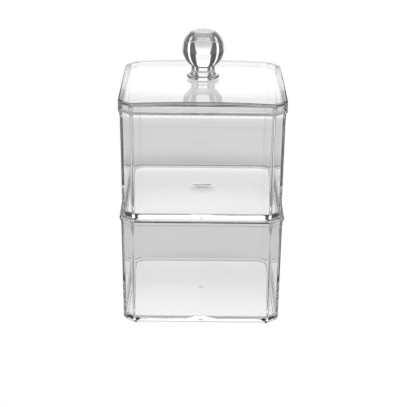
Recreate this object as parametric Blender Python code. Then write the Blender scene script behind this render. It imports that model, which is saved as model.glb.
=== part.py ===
"""Stacking swab jar in clear acrylic: two identical open boxes, a lid that drops into the top one, and a ball knob.

Every horizontal section of the boxes and the lid is the same cut-corner square, moved in or out by an offset.
A moulding is therefore drawn once, as a side profile of (offset, height) stations, and lofted round that outline.
The knob is a profile turned about the jar's axis. Lengths are in metres, +Z is up, and the jar stands on Z = 0.
"""

import math

import bmesh
import bpy

# Outline, seen from above
LID_WIDTH = 0.0920  # across the flats of the lid, and of the bead round each rim
RIM_PROUD = 0.0016  # how far lid and bead stand out beyond the outline of a box's base
CHAMFER_LEG = 0.0062  # cut corner of the base outline, measured along one side
CORNER_BLEND = 0.0032  # rounding where a cut corner meets a side
LEAST_BLEND = 0.0010  # the same on the inner faces, where the concentric rounding runs out

# One box
TIER_PITCH = 0.0626  # from the foot of one box to the foot of the box that stands on it
WALL = 0.0023
WALL_LEAN = 0.0007  # how far each wall leans out over one pitch, for draft
BASE_FILLET = 0.0020
FOOT_WIDTH = 0.0036  # the flat ring that the box stands on, out to the base outline
FOOT_HEIGHT = 0.0009  # height of the hollow inside the foot ring
FOOT_LEAN = 0.0003  # draft of that hollow
FLOOR = 0.0030
FLOOR_FILLET = 0.0009
GATE_RADIUS = 0.0015  # the small round mark left under the floor by moulding
GATE_HEIGHT = 0.0003

# Rim of a box
REBATE_DEPTH = 0.0013  # how far the next box, or the lid, drops in
BEAD_HEIGHT = 0.0020
BEAD_ROUND = 0.0005
BEAD_UNDERCUT = 0.0003
FLARE_HEIGHT = 0.0065  # the cove that carries the wall out to the bead
EDGE_ROUND = 0.0003  # broken edge inside the rim

# Fits between pieces
SEAT_GAP = 0.0003  # between faces that rest on each other
SIDE_FIT = 0.0004  # between a piece and the rebate it drops into

# Lid
LID_HEIGHT = 0.0055  # from the underside of its skirt to the middle of a top edge
LID_PLATE = 0.0030
LID_FILLET = 0.0011
LID_CROWN = 0.0014  # rise of the plate from the middle of an edge to its centre
LOCATING_RING = 0.0014  # thickness of the ring under the lid
RING_FILLET = 0.0004

# Knob
BALL_RADIUS = 0.0118
BALL_FLAT_RADIUS = 0.0061
NECK_RADIUS = 0.0067
NECK_TOP = 0.0069
COLLAR_RADIUS = 0.0092
COLLAR_THICKNESS = 0.0018
COLLAR_SHOULDER = 0.0004
COVE_HEIGHT = 0.0018

# How finely curves are drawn
BLEND_STEPS = 3
ARC_STEPS = 4
PLATE_RINGS = 5
SIDE_CUTS = 8  # pieces of each side of the lid, which the crown bows
KNOB_SIDES = 48
BALL_STEPS = 20

BASE_HALF = LID_WIDTH / 2 - RIM_PROUD
LEDGE_Z = TIER_PITCH - SEAT_GAP
RIM_Z = LEDGE_Z + REBATE_DEPTH
BEAD_Z = RIM_Z - BEAD_HEIGHT
FLARE_Z = BEAD_Z - FLARE_HEIGHT
FLOOR_Z = FOOT_HEIGHT + FLOOR
LID_Z = TIER_PITCH + RIM_Z + SEAT_GAP
KNOB_Z = LID_Z + LID_HEIGHT + LID_CROWN + SEAT_GAP
QUARTER_TURN = math.pi / 2


def remove_all_objects():
    """Empties the scene that the script starts in."""
    for obj in list(bpy.data.objects):
        bpy.data.objects.remove(obj, do_unlink=True)


def arc(centre, radii, start_degrees, end_degrees, steps=ARC_STEPS):
    """Points of an elliptical arc in the plane of a profile, both ends included."""
    points = []
    for i in range(steps + 1):
        angle = math.radians(start_degrees + (end_degrees - start_degrees) * i / steps)
        across = centre[0] + radii[0] * math.cos(angle)
        up = centre[1] + radii[1] * math.sin(angle)
        points.append((across, up))
    return points


def outline(offset, side_cuts=1):
    """The cut-corner square, moved out from the base outline by offset, as points run anticlockwise.

    side_cuts is the number of pieces that each long side is cut into, so that a side can be bowed.
    """
    half = BASE_HALF + offset
    # A parallel curve keeps its distance from the cut corners too, which lengthens or shortens their legs.
    leg = CHAMFER_LEG + offset * (2 - math.sqrt(2))
    blend = max(CORNER_BLEND + offset, LEAST_BLEND)
    setback = blend * math.tan(math.pi / 8)
    quarter = []
    for corner, first_normal in (((half, half - leg), 0), ((half - leg, half), math.pi / 4)):
        # Each end of a cut corner turns the outline through 45 degrees, rounded by an arc.
        along = first_normal + QUARTER_TURN
        start = (corner[0] - setback * math.cos(along), corner[1] - setback * math.sin(along))
        centre = (start[0] - blend * math.cos(first_normal), start[1] - blend * math.sin(first_normal))
        turn_degrees = math.degrees(first_normal)
        quarter += arc(centre, (blend, blend), turn_degrees, turn_degrees + 45, BLEND_STEPS)
    # The long side runs on to the first point of the next quarter, which is this one's first point turned.
    side_start, side_end = quarter[-1], (-quarter[0][1], quarter[0][0])
    for cut in range(1, side_cuts):
        share = cut / side_cuts
        x = side_start[0] + (side_end[0] - side_start[0]) * share
        y = side_start[1] + (side_end[1] - side_start[1]) * share
        quarter.append((x, y))
    points = []
    for side in range(4):
        c, s = math.cos(side * QUARTER_TURN), math.sin(side * QUARTER_TURN)
        points += [(x * c - y * s, x * s + y * c) for x, y in quarter]
    return points


def circle_like(points, radius):
    """A circle with one point on the same bearing as each point of an outline."""
    return [(radius * x / math.hypot(x, y), radius * y / math.hypot(x, y)) for x, y in points]


def shrunk(points, share):
    return [(x * share, y * share) for x, y in points]


def at_height(points, z):
    return [(x, y, z) for x, y in points]


def crown(x, y):
    """Height of the lid's gentle dome above the level of its mid-edges."""
    return LID_CROWN * (1 - (x * x + y * y) / (LID_WIDTH / 2) ** 2)


def loft(name, rings):
    """A closed mesh through rings of equal length, with its first and last ring filled."""
    shape = bmesh.new()
    loops = [[shape.verts.new(point) for point in ring] for ring in rings]
    for lower, upper in zip(loops, loops[1:]):
        for i, corner in enumerate(lower):
            j = (i + 1) % len(lower)
            shape.faces.new((corner, lower[j], upper[j], upper[i]))
    shape.faces.new(list(reversed(loops[0])))
    shape.faces.new(loops[-1])
    return finished_mesh(name, shape)


def turned(name, profile):
    """A closed mesh from a profile of (radius, height) that starts and ends on the axis."""
    shape = bmesh.new()
    corners = [shape.verts.new((radius, 0, z)) for radius, z in profile]
    edges = [shape.edges.new(pair) for pair in zip(corners, corners[1:])]
    bmesh.ops.spin(
        shape, geom=corners + edges, cent=(0, 0, 0), axis=(0, 0, 1), angle=4 * QUARTER_TURN, steps=KNOB_SIDES,
        use_merge=True, use_duplicate=False,
    )
    bmesh.ops.remove_doubles(shape, verts=shape.verts, dist=EDGE_ROUND / KNOB_SIDES)
    return finished_mesh(name, shape)


def finished_mesh(name, shape):
    """Turns all faces outwards and shades the round stretches smooth."""
    bmesh.ops.recalc_face_normals(shape, faces=shape.faces)
    mesh = bpy.data.meshes.new(name)
    shape.to_mesh(mesh)
    shape.free()
    mesh.shade_smooth()
    mesh.set_sharp_from_angle(angle=math.radians(35))
    return mesh


def wall_offset(z):
    """Offset of the outer face of a wall, which leans out as it rises."""
    return WALL_LEAN * z / TIER_PITCH


def box_profile():
    """Stations of a box from the inner edge of its foot, up the outside, over the rim and down to the floor."""
    foot = [(-FOOT_WIDTH, 0)]
    base = arc((-BASE_FILLET, BASE_FILLET), (BASE_FILLET, BASE_FILLET), -90, 0)
    under_bead = RIM_PROUD - BEAD_UNDERCUT
    flare_start = wall_offset(FLARE_Z)
    flare = arc((under_bead, FLARE_Z), (flare_start - under_bead, FLARE_HEIGHT), 0, 90)
    bead_side = [(RIM_PROUD, BEAD_Z + BEAD_UNDERCUT)]
    bead_top = arc((RIM_PROUD - BEAD_ROUND, RIM_Z - BEAD_ROUND), (BEAD_ROUND, BEAD_ROUND), 0, 90)
    lip = [(SIDE_FIT + EDGE_ROUND, RIM_Z), (SIDE_FIT, RIM_Z - EDGE_ROUND), (SIDE_FIT, LEDGE_Z)]
    inner_top = wall_offset(LEDGE_Z) - WALL
    ledge = [(inner_top + EDGE_ROUND, LEDGE_Z), (inner_top, LEDGE_Z - EDGE_ROUND)]
    fillet_z = FLOOR_Z + FLOOR_FILLET
    inner_foot = wall_offset(fillet_z) - WALL
    floor_edge = arc((inner_foot - FLOOR_FILLET, fillet_z), (FLOOR_FILLET, FLOOR_FILLET), 0, -90)
    return foot + base + flare + bead_side + bead_top + lip + ledge + floor_edge


def box_mesh():
    """An open box: gate mark and hollow underneath, then the profile, closed by the floor."""
    hollow_outline = outline(-FOOT_WIDTH - FOOT_LEAN)
    gate = circle_like(hollow_outline, GATE_RADIUS)
    rings = [
        at_height(gate, FOOT_HEIGHT - GATE_HEIGHT),
        at_height(gate, FOOT_HEIGHT),
        at_height(hollow_outline, FOOT_HEIGHT),
    ]
    rings += [at_height(outline(offset), z) for offset, z in box_profile()]
    return loft("swab_box", rings)


def lid_profile():
    """Stations of the lid from the root of its locating ring, under the skirt and up to the rounded top edge."""
    plate_z = LID_HEIGHT - LID_PLATE
    ring_root = arc((-LOCATING_RING - RING_FILLET, plate_z - RING_FILLET), (RING_FILLET, RING_FILLET), 90, 0)
    ring_foot = [
        (-LOCATING_RING, EDGE_ROUND - REBATE_DEPTH),
        (EDGE_ROUND - LOCATING_RING, -REBATE_DEPTH),
        (-EDGE_ROUND, -REBATE_DEPTH),
        (0, EDGE_ROUND - REBATE_DEPTH),
        (0, 0),
    ]
    skirt = [(RIM_PROUD - EDGE_ROUND, 0), (RIM_PROUD, EDGE_ROUND)]
    top = arc((RIM_PROUD - LID_FILLET, LID_HEIGHT - LID_FILLET), (LID_FILLET, LID_FILLET), 0, 90, 2 * ARC_STEPS)
    return ring_root + ring_foot + skirt + top


def crowned(points, z):
    """A ring of the lid, lifted by the crown in proportion to its height above the skirt."""
    share = max(z, 0) / LID_HEIGHT
    return [(x, y, z + crown(x, y) * share) for x, y in points]


def lid_mesh():
    """The lid: its underside from the centre out, the profile, and its top from the edge in."""
    profile = lid_profile()
    plate_z = LID_HEIGHT - LID_PLATE
    under, over = outline(profile[0][0], SIDE_CUTS), outline(profile[-1][0], SIDE_CUTS)
    shares = [ring / PLATE_RINGS for ring in range(1, PLATE_RINGS)]
    rings = [crowned(shrunk(under, share), plate_z) for share in shares]
    rings += [crowned(outline(offset, SIDE_CUTS), z) for offset, z in profile]
    rings += [crowned(shrunk(over, share), LID_HEIGHT) for share in reversed(shares)]
    return loft("lid", rings)


def knob_mesh():
    """Collar with a full-round edge, cove, neck, and a ball cut off flat at the top."""
    edge = COLLAR_THICKNESS / 2
    edge_centre = COLLAR_RADIUS - edge
    cove_radius = edge_centre - COLLAR_SHOULDER
    cove_z = COLLAR_THICKNESS + COVE_HEIGHT
    ball_z = NECK_TOP + math.sqrt(BALL_RADIUS**2 - NECK_RADIUS**2)
    start = -math.degrees(math.acos(NECK_RADIUS / BALL_RADIUS))
    end = math.degrees(math.acos(BALL_FLAT_RADIUS / BALL_RADIUS))
    profile = [(0, 0)]
    profile += arc((edge_centre, edge), (edge, edge), -90, 90, 2 * ARC_STEPS)
    profile += arc((cove_radius, cove_z), (NECK_RADIUS - cove_radius, -COVE_HEIGHT), 90, 0)
    ball = arc((0, ball_z), (BALL_RADIUS, BALL_RADIUS), start, end, BALL_STEPS)
    profile += ball + [(0, ball[-1][1])]
    return turned("knob", profile)


def clear_acrylic(name, colour):
    """Polished clear acrylic with the slight cast of its colour."""
    material = bpy.data.materials.new(name)
    material.use_nodes = True
    shader = material.node_tree.nodes["Principled BSDF"]
    shader.inputs["Base Color"].default_value = (*colour, 1)
    shader.inputs["Roughness"].default_value = 0.03
    shader.inputs["Metallic"].default_value = 0
    shader.inputs["IOR"].default_value = 1.49
    shader.inputs["Transmission Weight"].default_value = 1
    return material


def axis_empty(name, z):
    """An empty on the jar's axis, which a piece that lifts off hangs from."""
    empty = bpy.data.objects.new(name, None)
    empty.location = (0, 0, z)
    bpy.context.scene.collection.objects.link(empty)
    return empty


def place(name, mesh, colour, parent, z):
    """Adds a piece to the scene at a height above its parent."""
    piece = bpy.data.objects.new(name, mesh)
    bpy.context.scene.collection.objects.link(piece)
    piece.parent = parent
    piece.location = (0, 0, z)
    # The material sits on the object, because the two boxes share one mesh.
    mesh.materials.clear()
    mesh.materials.append(None)
    piece.material_slots[0].link = "OBJECT"
    piece.material_slots[0].material = clear_acrylic(name + "_clear_acrylic", colour)
    return piece


def build_jar():
    """Makes the four pieces and stands them in place."""
    remove_all_objects()
    ground = axis_empty("jar_axis", 0)
    upper_axis = axis_empty("upper_box_axis", TIER_PITCH)
    lid_axis = axis_empty("lid_axis", LID_Z)
    box = box_mesh()
    place("lower_box", box, (0.86, 0.87, 0.89), ground, 0)
    place("upper_box", box, (0.88, 0.88, 0.90), upper_axis, 0)
    place("lid", lid_mesh(), (0.94, 0.93, 0.96), lid_axis, 0)
    place("knob", knob_mesh(), (0.90, 0.90, 0.90), lid_axis, KNOB_Z - LID_Z)


build_jar()
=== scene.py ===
"""Looks of the stacking swab jar in clear acrylic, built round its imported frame.

Every horizontal section of a box or of the lid is the same cut-corner square, moved in or out by an offset, so each
moulding is a side profile of (offset, height) stations lofted round that outline. The knob is turned. All lengths
are in metres, in the frame's own axes: the jar stands on Z = 0 and the camera looks along +Y.
"""

from __future__ import annotations

import logging
import math
from collections.abc import Iterable, Sequence
from dataclasses import dataclass
from enum import Enum

import bmesh
import bpy
from mathutils import Matrix, Vector

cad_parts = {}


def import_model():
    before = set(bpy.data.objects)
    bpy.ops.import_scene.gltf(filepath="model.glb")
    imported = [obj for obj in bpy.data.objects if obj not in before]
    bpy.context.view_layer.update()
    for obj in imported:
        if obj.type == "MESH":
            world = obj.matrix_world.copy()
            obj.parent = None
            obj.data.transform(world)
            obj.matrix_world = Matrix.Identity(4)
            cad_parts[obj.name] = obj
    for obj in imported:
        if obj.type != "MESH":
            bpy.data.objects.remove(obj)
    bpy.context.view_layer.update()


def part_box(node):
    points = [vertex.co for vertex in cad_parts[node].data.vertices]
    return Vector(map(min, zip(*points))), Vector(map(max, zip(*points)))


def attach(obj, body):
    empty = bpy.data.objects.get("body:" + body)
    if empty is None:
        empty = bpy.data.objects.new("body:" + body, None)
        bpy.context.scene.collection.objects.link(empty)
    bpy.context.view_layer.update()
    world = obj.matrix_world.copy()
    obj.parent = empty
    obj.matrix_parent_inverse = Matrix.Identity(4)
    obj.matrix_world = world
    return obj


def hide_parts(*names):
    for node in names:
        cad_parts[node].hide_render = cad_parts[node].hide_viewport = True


LOG = logging.getLogger("swab_jar")

Station = tuple[float, float]
Ring = list[tuple[float, float, float]]
Colour = tuple[float, float, float]

QUARTER_TURN = math.pi / 2
RIM_PROUD = 0.0016
REST_GAP = 0.0003


class Tier(Enum):
    """The two boxes, by the name of their node."""

    LOWER = "lower_box"
    UPPER = "upper_box"


class Slot(Enum):
    """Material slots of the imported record."""

    BOX = "box_acrylic"
    LID = "lid_acrylic"
    KNOB = "knob_acrylic"


# Shader maths


class Socket:
    """A shader value that can be used in Python expressions."""

    def __init__(self, graph: Graph, output: bpy.types.NodeSocket) -> None:
        """Wraps an output socket of a graph."""
        self.graph = graph
        self.output = output

    def maths(self, operation: str, *operands: Socket | float) -> Socket:
        """Adds one Math node.

        Args:
            operation: Blender's name for the operation.
            operands: values or sockets, in the node's order.

        Returns:
            The node's result.
        """
        return self.graph.node("ShaderNodeMath", {"operation": operation}, dict(enumerate(operands)))

    def __add__(self, other: Socket | float) -> Socket:
        """Sum."""
        return self.maths("ADD", self, other)

    __radd__ = __add__

    def __mul__(self, other: Socket | float) -> Socket:
        """Product."""
        return self.maths("MULTIPLY", self, other)

    __rmul__ = __mul__

    def __sub__(self, other: Socket | float) -> Socket:
        """Difference."""
        return self.maths("SUBTRACT", self, other)

    def __rsub__(self, other: Socket | float) -> Socket:
        """Difference from a plain number."""
        return self.maths("SUBTRACT", other, self)

    def __abs__(self) -> Socket:
        """Distance from zero."""
        return self.maths("ABSOLUTE", self)

    def step(self, low: float, high: float) -> Socket:
        """Rises smoothly from 0 at low to 1 at high.

        Args:
            low: value where the rise starts.
            high: value where the rise ends; below low, the step falls instead.

        Returns:
            The smooth step.
        """
        settings = {"interpolation_type": "SMOOTHSTEP"}
        ends = {"Value": self, "From Min": low, "From Max": high}
        if high < low:
            ends = {"Value": self, "From Min": high, "From Max": low, "To Min": 1.0, "To Max": 0.0}
        return self.graph.node("ShaderNodeMapRange", settings, ends)


class Graph:
    """Builds one node tree."""

    def __init__(self, tree: bpy.types.NodeTree) -> None:
        """Starts from an empty tree."""
        self.tree = tree
        tree.nodes.clear()

    def node(
        self, kind: str, settings: dict | None = None, inputs: dict | None = None, output: int | str = 0
    ) -> Socket:
        """Adds a node.

        Args:
            kind: the node's type name.
            settings: its properties, set before its sockets.
            inputs: a value or a socket for each named or numbered input.
            output: name or number of the output to hand back.

        Returns:
            The chosen output.
        """
        made = self.tree.nodes.new(kind)
        for name, value in (settings or {}).items():
            if name == "stops":
                self._set_stops(made.color_ramp, value)
            else:
                setattr(made, name, value)
        for key, value in (inputs or {}).items():
            if isinstance(value, Socket):
                self.tree.links.new(value.output, made.inputs[key])
            else:
                made.inputs[key].default_value = value
        return Socket(self, made.outputs[output]) if len(made.outputs) else Socket(self, None)

    def parts(self, vector: Socket) -> list[Socket]:
        """The three parts of a vector."""
        split = self.node("ShaderNodeSeparateXYZ", None, {"Vector": vector}).output.node
        return [Socket(self, output) for output in split.outputs]

    def bearing(self, x: Socket, y: Socket) -> Socket:
        """Angle in degrees from +Y, clockwise from above."""
        return x.maths("ARCTAN2", x, y) * math.degrees(1)

    @staticmethod
    def _set_stops(ramp: bpy.types.ColorRamp, stops: Sequence[tuple[float, Colour]]) -> None:
        """Sets a colour ramp's stops.

        Args:
            ramp: the ramp of a new node.
            stops: position and colour of each stop, two or more.
        """
        while len(ramp.elements) < len(stops):
            ramp.elements.new(1.0)
        for element, (position, colour) in zip(ramp.elements, stops):
            element.position = position
            element.color = (*colour, 1.0)


# Finishes


@dataclass(frozen=True)
class ClearAcrylic:
    """Polished clear acrylic with the faint flow, haze and handling marks of a moulded or turned piece."""

    clear: Colour
    tinted: Colour
    passed: Colour = (0.02, 0.0, 0.03)
    absorption: float = 2.5
    polish: float = 0.004
    haze: float = 0.02
    flow_scale: float = 18.0
    flow_stops: Station = (0.35, 0.7)
    wipe_scale: float = 126.0
    wipe_stops: Station = (0.52, 0.78)
    ripple: float = 0.00002
    ripple_scale: float = 55.0
    refraction: float = 1.49

    def material(self, name: str) -> bpy.types.Material:
        """Makes the material.

        Args:
            name: the new material's name.

        Returns:
            The material, ready for a slot.
        """
        made = bpy.data.materials.new(name)
        made.use_nodes = True
        graph = Graph(made.node_tree)
        place = graph.node("ShaderNodeTexCoord", output="Object")
        flow = graph.node("ShaderNodeTexNoise", None, {"Vector": place, "Scale": self.flow_scale, "Detail": 2.0})
        stops = list(zip(self.flow_stops, (self.clear, self.tinted)))
        tint = graph.node("ShaderNodeValToRGB", {"stops": stops}, {"Fac": flow})
        wipe = graph.node("ShaderNodeTexNoise", None, {"Vector": place, "Scale": self.wipe_scale, "Detail": 4.0})
        roughness = self.polish + (self.haze - self.polish) * wipe.step(*self.wipe_stops)
        swell = graph.node("ShaderNodeTexNoise", None, {"Vector": place, "Scale": self.ripple_scale, "Detail": 1.0})
        bump = graph.node("ShaderNodeBump", None, {"Height": swell, "Distance": self.ripple, "Strength": 1.0})
        shader = graph.node(
            "ShaderNodeBsdfPrincipled",
            None,
            {
                "Base Color": tint,
                "Roughness": roughness,
                "IOR": self.refraction,
                "Transmission Weight": 1.0,
                "Normal": bump,
            },
        )
        # Long paths inside the piece darken, so plates and walls seen end on turn grey.
        body = graph.node(
            "ShaderNodeVolumeAbsorption", None, {"Color": (*self.passed, 1.0), "Density": self.absorption}
        )
        graph.node("ShaderNodeOutputMaterial", None, {"Surface": shader, "Volume": body})
        return made


# Shapes


def arc(centre: Station, radii: Station, start: float, end: float, steps: int) -> list[Station]:
    """Points of an elliptical arc in the plane of a profile.

    Args:
        centre: centre of the ellipse.
        radii: its half axes, across and up.
        start: first angle, in degrees.
        end: last angle, in degrees.
        steps: number of chords.

    Returns:
        The points, both ends included.
    """
    angles = [math.radians(start + (end - start) * i / steps) for i in range(steps + 1)]
    return [(centre[0] + radii[0] * math.cos(a), centre[1] + radii[1] * math.sin(a)) for a in angles]


@dataclass(frozen=True)
class CutCornerSquare:
    """The outline that all mouldings share, and its parallel curves."""

    half: float
    leg: float = 0.0062
    blend: float = 0.0032
    least_blend: float = 0.0010
    blend_steps: int = 8
    side_steps: int = 1

    def ring(self, offset: float, z: float) -> Ring:
        """A parallel of the outline.

        Args:
            offset: how far it lies outside the base outline.
            z: its height.

        Returns:
            Its points, anticlockwise from above.
        """
        half = self.half + offset
        leg = self.leg + offset * (2 - math.sqrt(2))
        radius = max(self.blend + offset, self.least_blend)
        setback = radius * math.tan(math.pi / 8)
        quarter = []
        for corner, first_normal in (((half, half - leg), 0.0), ((half - leg, half), math.pi / 4)):
            along = first_normal + QUARTER_TURN
            start = (corner[0] - setback * math.cos(along), corner[1] - setback * math.sin(along))
            centre = (start[0] - radius * math.cos(first_normal), start[1] - radius * math.sin(first_normal))
            first = math.degrees(first_normal)
            quarter += arc(centre, (radius, radius), first, first + 45, self.blend_steps)
        # The last point of a quarter and the first of the next are the ends of a straight side.
        (end_x, end_y), (next_y, next_x) = quarter[-1], quarter[0]
        for i in range(1, self.side_steps):
            share = i / self.side_steps
            quarter.append((end_x + (-next_x - end_x) * share, end_y + (next_y - end_y) * share))
        turned = []
        for side in range(4):
            c, s = round(math.cos(side * QUARTER_TURN)), round(math.sin(side * QUARTER_TURN))
            turned += [(x * c - y * s, x * s + y * c, z) for x, y in quarter]
        return turned

    def loft(self, profile: Iterable[Station]) -> list[Ring]:
        """One parallel for each (offset, height) station of a profile."""
        return [self.ring(offset, z) for offset, z in profile]


def shrunk(ring: Ring, share: float) -> Ring:
    """A ring drawn in towards the axis."""
    return [(x * share, y * share, z) for x, y, z in ring]


def circle_like(ring: Ring, radius: float, z: float) -> Ring:
    """A circle with one point on the bearing of each point of a ring."""
    return [(radius * x / math.hypot(x, y), radius * y / math.hypot(x, y), z) for x, y, _ in ring]


def lifted(ring: Ring, rise: float) -> Ring:
    """A ring moved up."""
    return [(x, y, z + rise) for x, y, z in ring]


class Moulding:
    """A closed mesh made of rings, with its ends closed by a fan to a point on the axis."""

    def __init__(self, rings: Sequence[Ring], first_tip: float, last_tip: float) -> None:
        """Builds the mesh in memory.

        Args:
            rings: rings of equal length, from the underside round the outside to the top or the inside.
            first_tip: height of the point on the axis that closes the first ring.
            last_tip: the same for the last ring.
        """
        self.shape = bmesh.new()
        loops = [[self.shape.verts.new(point) for point in ring] for ring in rings]
        for lower, upper in zip(loops, loops[1:]):
            self._band(lower, upper)
        self._fan(list(reversed(loops[0])), first_tip)
        self._fan(loops[-1], last_tip)
        bmesh.ops.recalc_face_normals(self.shape, faces=self.shape.faces)

    def _band(self, lower: list[bmesh.types.BMVert], upper: list[bmesh.types.BMVert]) -> None:
        """Joins two rings with quads."""
        for i, corner in enumerate(lower):
            j = (i + 1) % len(lower)
            self.shape.faces.new((corner, lower[j], upper[j], upper[i]))

    def _fan(self, loop: list[bmesh.types.BMVert], z: float) -> None:
        """Closes a ring with triangles to a point on the axis."""
        tip = self.shape.verts.new((0.0, 0.0, z))
        for i, corner in enumerate(loop):
            self.shape.faces.new((corner, loop[(i + 1) % len(loop)], tip))

    def piece(self, name: str, sharp_degrees: float = 30.0) -> bpy.types.Object:
        """Turns the mesh into an object of the scene.

        Args:
            name: the object's name.
            sharp_degrees: an edge that turns more than this stays crisp.

        Returns:
            The new object.
        """
        mesh = bpy.data.meshes.new(name)
        self.shape.to_mesh(mesh)
        self.shape.free()
        mesh.shade_smooth()
        mesh.set_sharp_from_angle(angle=math.radians(sharp_degrees))
        made = bpy.data.objects.new(name, mesh)
        bpy.context.scene.collection.objects.link(made)
        # Area weights keep the shading of each flat flat, right up to the fillets round it.
        weighted = made.modifiers.new("flat_faces_stay_flat", "WEIGHTED_NORMAL")
        weighted.keep_sharp = True
        weighted.weight = 50
        return made


def dress(piece: bpy.types.Object, finish: ClearAcrylic, body: str, node: str) -> None:
    """Gives a piece its finish and its place in the frame.

    Args:
        piece: the new piece.
        finish: what it is made of.
        body: the body that it rides on.
        node: the frame's node that it stands for.
    """
    piece.data.materials.append(finish.material(piece.name + "_finish"))
    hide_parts(node)
    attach(piece, body)
    LOG.info("%s: %d faces, rides on %s", piece.name, len(piece.data.polygons), body)


@dataclass
class SwabBox:
    """One open box: foot ring, drafted walls, flared bead, rebate and floor."""

    tier: Tier
    outline: CutCornerSquare
    rim_proud: float
    z: float
    rim_z: float
    finish: ClearAcrylic
    wall: float = 0.0023
    wall_lean: float = 0.0007
    lean_height: float = 0.0626
    base_fillet: float = 0.0020
    foot_width: float = 0.0036
    foot_height: float = 0.0009
    foot_lean: float = 0.0003
    floor: float = 0.0030
    floor_fillet: float = 0.0009
    rebate_depth: float = 0.0013
    side_fit: float = 0.0004
    bead_height: float = 0.0020
    bead_round: float = 0.0005
    bead_undercut: float = 0.0003
    flare_height: float = 0.0065
    edge_round: float = 0.0003
    gate_radius: float = 0.0015
    gate_height: float = 0.0003
    dish_depth: float = 0.0002
    dish_radius: float = 0.0125
    dish_surround: tuple[float, ...] = (2.0, 1.4, 1.0)
    mark_radius: float = 0.0034
    mark_height: float = 0.0002
    dish_steps: int = 8
    edge_steps: int = 3
    gate_steps: int = 4
    bead_steps: int = 6
    fillet_steps: int = 8
    flare_steps: int = 12

    def _wall_offset(self, z: float) -> float:
        """Offset of a wall's outer face at a height above the foot."""
        return self.wall_lean * z / self.lean_height

    def _outside(self) -> list[Station]:
        """Stations from the foot's inner edge up the outside to the top of the bead."""
        r, e = self.base_fillet, self.edge_round
        bead_z = self.rim_z - self.bead_height
        flare_z = bead_z - self.flare_height
        flare_start, under_bead = self._wall_offset(flare_z), self.rim_proud - self.bead_undercut
        foot = arc((-self.foot_width + e, e), (e, e), 180, 270, self.edge_steps)
        base = arc((-r, r), (r, r), -90, 0, self.fillet_steps)
        flare = arc((under_bead, flare_z), (flare_start - under_bead, self.flare_height), 0, 90, self.flare_steps)
        undercut = (self.bead_undercut, self.bead_undercut)
        step = arc((under_bead, bead_z + self.bead_undercut), undercut, -90, 0, self.edge_steps)
        r = self.bead_round
        top = arc((self.rim_proud - r, self.rim_z - r), (r, r), 0, 90, self.bead_steps)
        return foot + base + flare + step[1:] + top

    def _inside(self) -> list[Station]:
        """Stations from the top of the lip down the rebate and the inner wall to the edge of the floor."""
        e, ledge_z = self.edge_round, self.rim_z - self.rebate_depth
        lip = arc((self.side_fit + e, self.rim_z - e), (e, e), 90, 180, self.edge_steps)
        inner_top = self._wall_offset(ledge_z) - self.wall
        ledge = arc((inner_top + e, ledge_z - e), (e, e), 90, 180, self.edge_steps)
        fillet_z = self.foot_height + self.floor + self.floor_fillet
        inner_foot = self._wall_offset(fillet_z) - self.wall
        radii = (self.floor_fillet, self.floor_fillet)
        floor_edge = arc((inner_foot - self.floor_fillet, fillet_z), radii, 0, -90, self.fillet_steps)
        return lip + [(self.side_fit, ledge_z)] + ledge + floor_edge

    def _underside(self) -> list[Ring]:
        """Rings of the moulding gate's round mark and the shallow hollow inside the foot."""
        hollow = self.outline.ring(-self.foot_width - self.foot_lean, self.foot_height)
        centre = (self.gate_radius - self.edge_round, self.foot_height)
        gate = arc(centre, (self.edge_round, -self.gate_height), 90, 0, self.gate_steps)
        return [circle_like(hollow, radius, z) for radius, z in gate] + [hollow]

    def _dish(self, floor_ring: Ring) -> list[Ring]:
        """Rings of the floor's top, down the shallow dish over the gate to the raised mark at its middle."""
        floor_z = self.foot_height + self.floor
        steps = self.dish_steps
        radii = [self.dish_radius * share for share in self.dish_surround]
        radii += [self.dish_radius + (self.mark_radius - self.dish_radius) * i / steps for i in range(1, steps)]
        radii += [self.mark_radius * (1 - i / steps) for i in range(steps)]
        return [circle_like(floor_ring, radius, floor_z - self._sunk(radius)) for radius in radii]

    def _sunk(self, radius: float) -> float:
        """How far the floor lies below its flat part at a distance from the axis."""
        dish = math.cos(QUARTER_TURN * min(radius / self.dish_radius, 1.0)) ** 2
        mark = math.cos(QUARTER_TURN * min(radius / self.mark_radius, 1.0)) ** 2
        return self.dish_depth * dish - self.mark_height * mark

    def build(self) -> bpy.types.Object:
        """Builds and dresses the box.

        Returns:
            The finished piece.
        """
        rings = self._underside() + self.outline.loft(self._outside() + self._inside())
        rings += self._dish(rings[-1])
        rings = [lifted(ring, self.z) for ring in rings]
        floor_z = self.z + self.foot_height + self.floor
        moulding = Moulding(rings, self.z + self.foot_height - self.gate_height, floor_z - self._sunk(0.0))
        piece = moulding.piece(self.tier.value + "_moulding")
        dress(piece, self.finish, self.tier.value, self.tier.value)
        return piece


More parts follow.
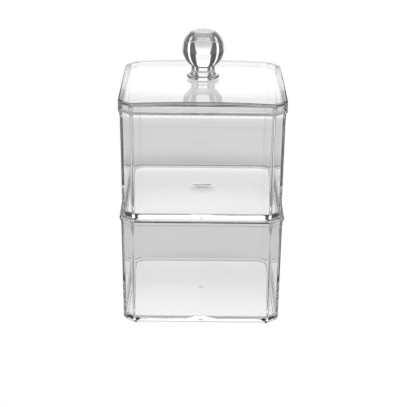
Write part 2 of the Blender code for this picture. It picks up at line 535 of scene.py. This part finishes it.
@dataclass
class Lid:
    """Crowned plate with a skirt, and the ring that locates it in the rebate."""

    outline: CutCornerSquare
    rim_proud: float
    z: float
    finish: ClearAcrylic
    height: float = 0.0055
    plate: float = 0.0030
    fillet: float = 0.0011
    crown: float = 0.0014
    rebate_depth: float = 0.0013
    locating_ring: float = 0.0014
    ring_fillet: float = 0.0004
    edge_round: float = 0.0003
    edge_steps: int = 3
    root_steps: int = 5
    fillet_steps: int = 12
    plate_rings: int = 14

    def crown_at(self, x: float, y: float) -> float:
        """Height of the dome above the level of the mid-edges."""
        return self.crown * (1 - (x * x + y * y) / (self.outline.half + self.rim_proud) ** 2)

    def _crowned(self, ring: Ring) -> Ring:
        """A ring above the skirt, lifted by the crown in proportion to its height."""
        return [(x, y, z + self.crown_at(x, y) * max(z, 0.0) / self.height) for x, y, z in ring]

    def _profile(self) -> list[Station]:
        """Stations from the root of the locating ring, under the skirt and up to the top edge."""
        e, f, r = self.edge_round, self.ring_fillet, self.fillet
        inner, plate_z = -self.locating_ring, self.height - self.plate
        root = arc((inner - f, plate_z - f), (f, f), 90, 0, self.root_steps)
        foot = arc((inner + e, e - self.rebate_depth), (e, e), 180, 270, self.edge_steps)
        nose = arc((-e, e - self.rebate_depth), (e, e), -90, 0, self.edge_steps)
        skirt = arc((self.rim_proud - e, e), (e, e), -90, 0, self.edge_steps)
        top = arc((self.rim_proud - r, self.height - r), (r, r), 0, 90, self.fillet_steps)
        return root + foot + nose + [(0.0, 0.0)] + skirt + top

    def build(self) -> bpy.types.Object:
        """Builds and dresses the lid.

        Returns:
            The finished piece.
        """
        edge = self.outline.loft(self._profile())
        shares = [ring / self.plate_rings for ring in range(1, self.plate_rings)]
        under = [shrunk(edge[0], share) for share in shares]
        over = [shrunk(edge[-1], share) for share in reversed(shares)]
        rings = [lifted(self._crowned(ring), self.z) for ring in under + edge + over]
        plate_z = self.height - self.plate
        under_tip = self.z + plate_z + self.crown * plate_z / self.height
        moulding = Moulding(rings, under_tip, self.z + self.height + self.crown)
        piece = moulding.piece("lid_moulding")
        dress(piece, self.finish, "lid", "lid")
        return piece


@dataclass
class Knob:
    """Collar, cove, neck and ball with a flat polished top, turned about the jar's axis."""

    z: float
    finish: ClearAcrylic
    ball_radius: float = 0.0118
    flat_radius: float = 0.0061
    neck_radius: float = 0.0067
    neck_top: float = 0.0069
    collar_radius: float = 0.0092
    collar: float = 0.0018
    collar_shoulder: float = 0.0004
    cove_height: float = 0.0018
    flat_edge: float = 0.0002
    sides: int = 128
    collar_steps: int = 16
    cove_steps: int = 10
    ball_steps: int = 56

    def _profile(self) -> list[Station]:
        """Stations (radius, height) from the underside of the collar to the edge of the flat top."""
        edge = self.collar / 2
        edge_centre = self.collar_radius - edge
        cove_radius = edge_centre - self.collar_shoulder
        cove_z = self.collar + self.cove_height
        ball_z = self.neck_top + math.sqrt(self.ball_radius**2 - self.neck_radius**2)
        start = -math.degrees(math.acos(self.neck_radius / self.ball_radius))
        end = math.degrees(math.acos(self.flat_radius / self.ball_radius))
        collar = arc((edge_centre, edge), (edge, edge), -90, 90, self.collar_steps)
        cove_radii = (self.neck_radius - cove_radius, -self.cove_height)
        cove = arc((cove_radius, cove_z), cove_radii, 90, 0, self.cove_steps)
        ball = arc((0.0, ball_z), (self.ball_radius, self.ball_radius), start, end, self.ball_steps)
        return collar + cove + ball + [(self.flat_radius - self.flat_edge, ball[-1][1])]

    def build(self) -> bpy.types.Object:
        """Builds and dresses the knob.

        Returns:
            The finished piece.
        """
        bearings = [math.tau * i / self.sides for i in range(self.sides)]
        rings = []
        for radius, z in self._profile():
            rings.append([(radius * math.cos(b), radius * math.sin(b), self.z + z) for b in bearings])
        moulding = Moulding(rings, self.z, rings[-1][0][2])
        piece = moulding.piece("knob_turning", sharp_degrees=20.0)
        dress(piece, self.finish, "lid", "knob")
        return piece


# Studio


@dataclass
class PhotoCamera:
    """The camera that took the photograph, as its edges fix it."""

    place: Vector
    pitch: float
    yaw: float
    roll: float
    focal_pixels: float
    centre_pixels: tuple[float, float]
    frame_pixels: int = 407
    sensor: float = 36.0

    def build(self) -> bpy.types.Object:
        """Adds the camera and makes it the scene's own.

        Returns:
            The camera.
        """
        lens = bpy.data.cameras.new("photo_camera")
        lens.sensor_width = self.sensor
        lens.lens = self.sensor * self.focal_pixels / self.frame_pixels
        middle = self.frame_pixels / 2
        lens.shift_x = (middle - self.centre_pixels[0]) / self.frame_pixels
        lens.shift_y = (self.centre_pixels[1] - middle) / self.frame_pixels
        lens.clip_start, lens.clip_end = 0.01, 20.0
        made = bpy.data.objects.new("photo_camera", lens)
        bpy.context.scene.collection.objects.link(made)
        pitch, yaw, roll = (math.radians(a) for a in (self.pitch, self.yaw, self.roll))
        ahead = Vector((math.sin(yaw) * math.cos(pitch), math.cos(yaw) * math.cos(pitch), -math.sin(pitch)))
        right = Vector((math.cos(yaw), -math.sin(yaw), 0.0))
        up = right.cross(ahead)
        across = math.cos(roll) * right - math.sin(roll) * up
        upright = math.sin(roll) * right + math.cos(roll) * up
        turn = Matrix((across, upright, -ahead)).transposed()
        made.matrix_world = Matrix.Translation(self.place) @ turn.to_4x4()
        bpy.context.scene.camera = made
        return made


@dataclass
class Studio:
    """A floor that is white to the camera, and a bright-field studio that only the acrylic sees.

    Ahead stands a narrow lit paper, at each side of it a black flag, then a lit slit, a second flag and the dim room.
    A lit strip of floor runs back to the paper. The camera sees plain white; what the acrylic bends and mirrors is
    the studio. Bearings are in degrees from the way the camera looks, to either side, and heights in degrees above
    the horizon. A pair of distances or angles is where a light's edge starts and ends.
    """

    floor_half: float = 3.0
    floor_drop: float = 0.0001
    white: float = 1.0
    soft: float = 1.5

    room: float = 0.056
    fill: float = 0.65
    fill_bearings: Station = (60.0, 80.0)
    fill_top: Station = (48.0, 42.0)
    paper: float = 1.84
    paper_foot: float = 1.04
    paper_rise: Station = (8.0, 20.0)
    paper_bearing: float = 14.5
    paper_top: Station = (38.0, 34.0)
    slit: float = 1.12
    slit_bearings: Station = (28.5, 35.5)

    slit_floor: float = 1.4
    slit_near: Station = (0.16, 0.24)
    flag_shade: float = 0.10
    flag_ends: Station = (56.0, 66.0)
    sides: float = 0.70
    front: float = 0.95
    front_bearings: Station = (112.0, 125.0)
    beyond: float = 1.10
    pool_edge: Station = (0.54, 0.66)
    shadow: float = 0.40
    shadow_bearings: Station = (50.0, 70.0)
    foot_shadow_reach: Station = (0.13, 0.11)

    strip_near: float = 0.62
    # The strip's shade, from 0.14 to 0.28 m behind the jar, is a painted shadow of the jar.
    strip_shade: float = 0.38
    strip_far: float = 0.66
    strip_end: float = 1.15
    shade_starts: Station = (0.14, 0.20)
    shade_ends: Station = (0.21, 0.28)
    end_rise: Station = (0.34, 0.80)
    strip_edge: Station = (0.051, 0.039)
    strip_spread: float = 0.19
    strip_start: Station = (0.0, 0.02)

    # Painted light on the floor under the jar, brighter in front than behind.
    under_front: float = 0.80
    under_back: float = 0.55
    under_turn: Station = (-0.03, 0.03)
    under_edge: Station = (0.07, 0.05)

    def build(self) -> None:
        """Builds the floor and the room."""
        self._floor()
        self._room()

    def _white_to_camera(self, graph: Graph, studio: Socket) -> Socket:
        """Brightness of a light that is plain white where the camera sees it directly.

        Args:
            graph: the tree that it is built in.
            studio: the brightness that the acrylic sees.

        Returns:
            The brightness, to be linked as a colour.
        """
        seen = graph.node("ShaderNodeLightPath", output="Is Camera Ray")
        return seen * self.white + (1.0 - seen) * studio

    def _ahead(self, bearing: Socket) -> Socket:
        """1 within the paper's bearings, 0 outside."""
        return bearing.step(self.paper_bearing + self.soft, self.paper_bearing - self.soft)

    def _slit(self, bearing: Socket) -> Socket:
        """1 within the bearings of the light that shows between the flags, 0 outside."""
        start, end = self.slit_bearings
        half = self.soft / 2
        return bearing.step(start - half, start + half) * bearing.step(end + half, end - half)

    def _strip(self, reach: Socket) -> Socket:
        """Light of the strip that runs back to the paper, by the distance from the jar, with a painted shadow of the
        jar where it dips to the shade level.
        """
        lit = self.strip_near + (self.strip_shade - self.strip_near) * reach.step(*self.shade_starts)
        lit = lit + (self.strip_far - self.strip_shade) * reach.step(*self.shade_ends)
        return lit + (self.strip_end - self.strip_far) * reach.step(*self.end_rise)

    def _pool(self, reach: Socket, bearing: Socket) -> Socket:
        """Light of the floor at the sides and in front, with a painted shadow of the jar round its foot.

        Args:
            reach: distance from the jar.
            bearing: angle from the way the camera looks.

        Returns:
            The light's brightness.
        """
        # Painted shade on the floor up to the flags' bearings, lighter at the sides and lightest in front.
        lit = self.flag_shade + (self.sides - self.flag_shade) * bearing.step(*self.flag_ends)
        lit = lit + (self.front - self.sides) * bearing.step(*self.front_bearings)
        lit = lit * (1.0 - (1.0 - self.beyond) * reach.step(*self.pool_edge))
        # Painted shadow of the jar round its foot: near the jar the floor drops to the shadow level at the sides and
        # in front, and keeps the strip's near light ahead.
        aside = bearing.step(*self.shadow_bearings)
        painted_foot_shadow = self.strip_near + (self.shadow - self.strip_near) * aside
        lit = lit + (painted_foot_shadow - lit) * reach.step(*self.foot_shadow_reach)
        return lit + (self.slit_floor - lit) * self._slit(bearing) * reach.step(*self.slit_near)

    def _floor(self) -> None:
        """A floor that is plain white to the camera, and to what the acrylic sees lit in zones and painted with
        shadows of the jar.
        """
        h, z = self.floor_half, -self.floor_drop
        mesh = bpy.data.meshes.new("floor")
        mesh.from_pydata([(-h, -h, z), (h, -h, z), (h, h, z), (-h, h, z)], [], [(0, 1, 2, 3)])
        floor = bpy.data.objects.new("floor", mesh)
        bpy.context.scene.collection.objects.link(floor)
        material = bpy.data.materials.new("white_floor_painted_light")
        material.use_nodes = True
        graph = Graph(material.node_tree)
        place = graph.node("ShaderNodeTexCoord", output="Object")
        x, y = graph.parts(place)[:2]
        reach = graph.node("ShaderNodeVectorMath", {"operation": "LENGTH"}, {0: place}, "Value")
        pool = self._pool(reach, abs(graph.bearing(x, y)))
        across = abs(x) - y * self.strip_spread
        in_strip = across.step(*self.strip_edge) * y.step(*self.strip_start)
        lit = pool + (self._strip(reach) - pool) * in_strip
        # Painted light under the jar, brighter in front than behind.
        under = self.under_front + (self.under_back - self.under_front) * y.step(*self.under_turn)
        lit = lit + (under - lit) * reach.step(*self.under_edge)
        glow = graph.node("ShaderNodeEmission", None, {"Color": self._white_to_camera(graph, lit)})
        graph.node("ShaderNodeOutputMaterial", None, {"Surface": glow})
        mesh.materials.append(material)

    def _room(self) -> None:
        """The paper, the slits and the room, by direction."""
        world = bpy.data.worlds.new("room")
        world.use_nodes = True
        bpy.context.scene.world = world
        graph = Graph(world.node_tree)
        way = graph.node("ShaderNodeTexCoord", output="Generated")
        x, y, z = graph.parts(way)
        bearing = abs(graph.bearing(x, y))
        height = z.maths("ARCSINE", z) * math.degrees(1)
        below_top = height.step(*self.paper_top)
        paper = self.paper_foot + (self.paper - self.paper_foot) * height.step(*self.paper_rise)
        filled = bearing.step(*self.fill_bearings) * height.step(*self.fill_top)
        studio = self.room + (self.fill - self.room) * filled
        studio = studio + (self.slit - studio) * self._slit(bearing) * below_top
        studio = studio + (paper - studio) * self._ahead(bearing) * below_top
        glow = graph.node("ShaderNodeBackground", None, {"Color": self._white_to_camera(graph, studio)})
        graph.node("ShaderNodeOutputWorld", None, {"Surface": glow})


def set_light_paths() -> None:
    """Lets light pass every wall of the jar, with colours shown as they are."""
    scene = bpy.context.scene
    scene.view_settings.view_transform = "Standard"
    scene.cycles.max_bounces = 32
    scene.cycles.transmission_bounces = 32
    scene.cycles.glossy_bounces = 16
    scene.cycles.transparent_max_bounces = 16
    scene.cycles.caustics_refractive = True
    scene.cycles.caustics_reflective = True


def main() -> None:
    """Builds the jar's pieces, the studio and the camera."""
    logging.basicConfig(level=logging.INFO, format="%(name)s: %(message)s")
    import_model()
    PhotoCamera(
        place=Vector((-0.00112, -0.66899, 0.31533)),
        pitch=20.139,
        yaw=0.096,
        roll=-0.557,
        focal_pixels=1216.04,
        centre_pixels=(202.02, 182.18),
    ).build()
    lower_low, lower_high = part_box("lower_box")
    upper_low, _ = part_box("upper_box")
    knob_low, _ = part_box("knob")
    outline = CutCornerSquare(half=lower_high.x - RIM_PROUD)
    box_finish = ClearAcrylic(clear=(0.985, 0.985, 0.99), tinted=(0.965, 0.965, 0.975))
    lid_finish = ClearAcrylic(clear=(0.99, 0.985, 0.995), tinted=(0.975, 0.97, 0.985), absorption=7.0)
    knob_finish = ClearAcrylic(clear=(0.985, 0.985, 0.985), tinted=(0.97, 0.97, 0.975), ripple=0.000005)
    rim_z = lower_high.z
    SwabBox(Tier.LOWER, outline, RIM_PROUD, lower_low.z, rim_z, box_finish).build()
    SwabBox(Tier.UPPER, outline, RIM_PROUD, upper_low.z, rim_z, box_finish, dish_depth=0.0008).build()
    bowed = CutCornerSquare(half=outline.half, side_steps=24)
    Lid(bowed, RIM_PROUD, upper_low.z + rim_z + REST_GAP, lid_finish).build()
    Knob(knob_low.z, knob_finish).build()
    Studio().build()
    set_light_paths()


if __name__ == "__main__":
    main()
